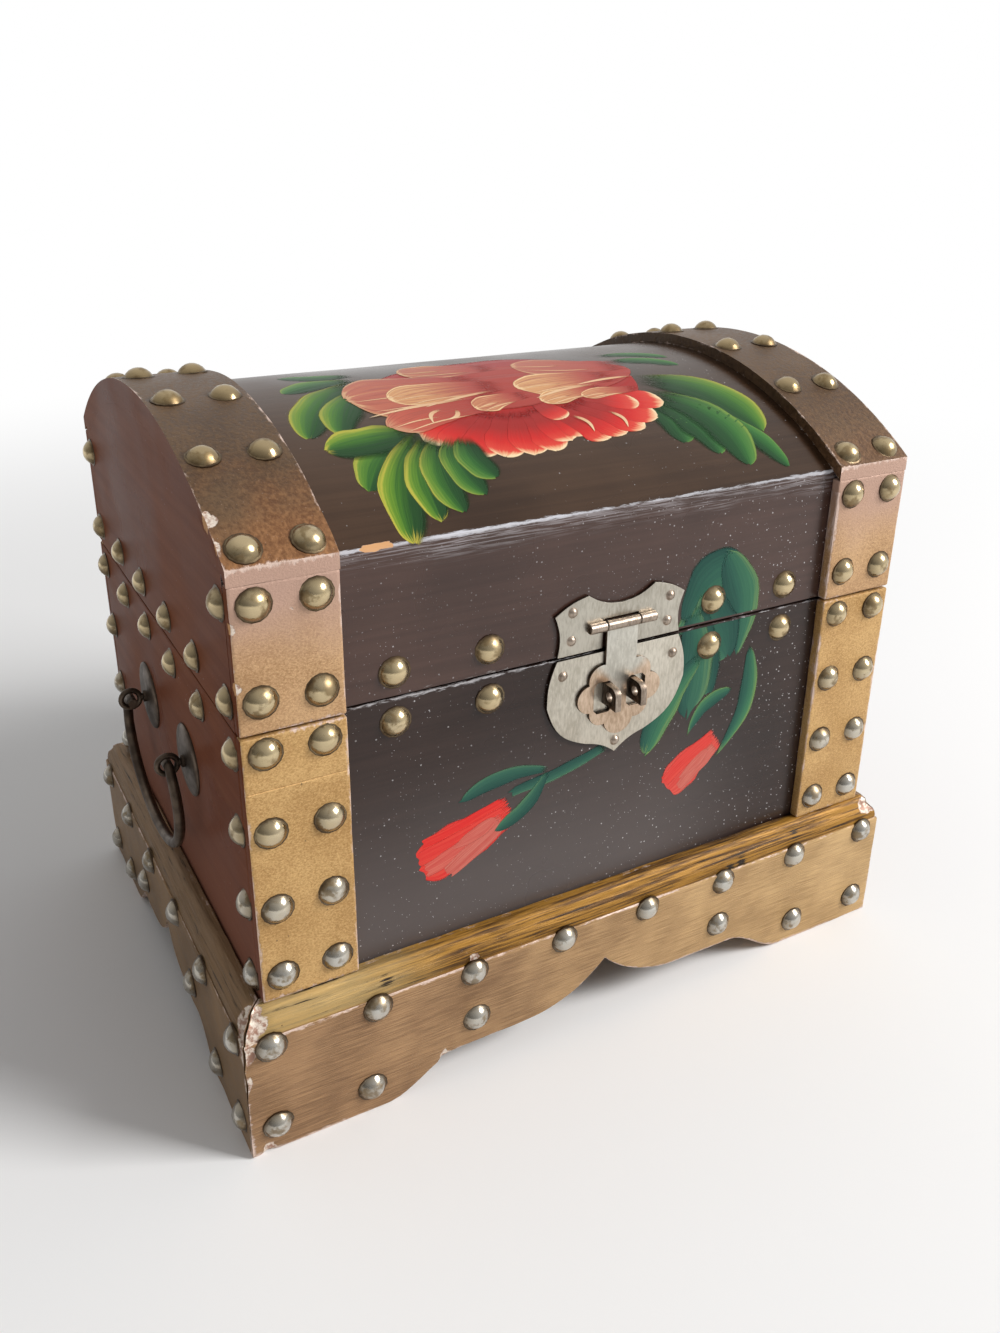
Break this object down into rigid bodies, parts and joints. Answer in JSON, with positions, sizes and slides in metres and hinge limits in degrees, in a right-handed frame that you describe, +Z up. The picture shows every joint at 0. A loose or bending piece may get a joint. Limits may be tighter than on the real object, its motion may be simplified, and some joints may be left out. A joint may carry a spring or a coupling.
{
  "type": "trinket box",
  "caption": "Domed wooden trinket chest on a scalloped plinth, with painted bands, domed nail heads, a hinged lid, a shield hasp and drop bail handles.",
  "frame": {"origin": "centre of the plinth's footprint, on the surface that it stands on", "axes": "+X to the right seen from the front, +Y to the back, +Z up; the hasp is on the -Y face"},
  "size_m": [0.242, 0.1794, 0.2039],
  "materials": {
    "dark_lacquer": "very dark brown satin lacquer on wood",
    "maroon_lacquer": "maroon satin lacquer on wood",
    "bronze_paint": "brushed bronze paint on wood, worn at the edges",
    "gold_paint": "brushed gold paint on wood, worn at the edges",
    "bare_wood": "unfinished thin board",
    "nickel": "tarnished nickel plate",
    "coppered_nickel": "nickel plate worn to copper",
    "dark_bronze": "dark antique bronze",
    "brass": "antique brass"
  },
  "bodies": {
    "base": {"plinth_front": "bronze_paint", "plinth_rear": "bronze_paint", "plinth_left": "bronze_paint", "plinth_right": "bronze_paint", "base_left_end": "maroon_lacquer", "base_right_end": "maroon_lacquer", "base_front_board": "dark_lacquer", "base_rear_board": "dark_lacquer", "base_floor": "bare_wood", "base_front_left_band": "gold_paint", "base_front_right_band": "gold_paint", "base_rear_left_band": "gold_paint", "base_rear_right_band": "gold_paint", "hasp_lower_plate": "nickel", "left_hinge_lower_leaf": "brass", "left_hinge_pin": "brass", "left_front_rosette": "dark_bronze", "left_front_eye_post": "dark_bronze", "left_rear_rosette": "dark_bronze", "left_rear_eye_post": "dark_bronze", "right_hinge_lower_leaf": "brass", "right_hinge_pin": "brass", "right_front_rosette": "dark_bronze", "right_front_eye_post": "dark_bronze", "right_rear_rosette": "dark_bronze", "right_rear_eye_post": "dark_bronze"},
    "lid": {"lid_left_end": "maroon_lacquer", "lid_left_band": "bronze_paint", "lid_right_end": "maroon_lacquer", "lid_right_band": "bronze_paint", "lid_front_board": "dark_lacquer", "lid_rear_board": "dark_lacquer", "lid_top_board": "dark_lacquer", "lid_front_left_strip": "gold_paint", "lid_front_right_strip": "gold_paint", "lid_rear_left_strip": "gold_paint", "lid_rear_right_strip": "gold_paint", "hasp_upper_plate": "nickel", "hasp_pin": "nickel", "left_hinge_upper_leaf": "brass", "right_hinge_upper_leaf": "brass"},
    "hasp": {"hasp_leaf": "coppered_nickel"},
    "left_bail": {"left_bail": "dark_bronze"},
    "right_bail": {"right_bail": "dark_bronze"}
  },
  "joints": [
    {"name": "lid_hinge", "type": "hinge", "parent": "base", "child": "lid", "pos_m": [0, 0.0826, 0.1311], "axis": [-1, 0, 0], "range_deg": [0, 105]},
    {"name": "hasp_hinge", "type": "hinge", "parent": "lid", "child": "hasp", "pos_m": [0.004, -0.0806, 0.139], "axis": [-1, 0, 0], "range_deg": [0, 170]},
    {"name": "left_bail_hinge", "type": "hinge", "parent": "base", "child": "left_bail", "pos_m": [-0.1164, 0, 0.0955], "axis": [0, 1, 0], "range_deg": [-7, 175]},
    {"name": "right_bail_hinge", "type": "hinge", "parent": "base", "child": "right_bail", "pos_m": [0.1164, 0, 0.0955], "axis": [0, -1, 0], "range_deg": [-7, 175]}
  ]
}
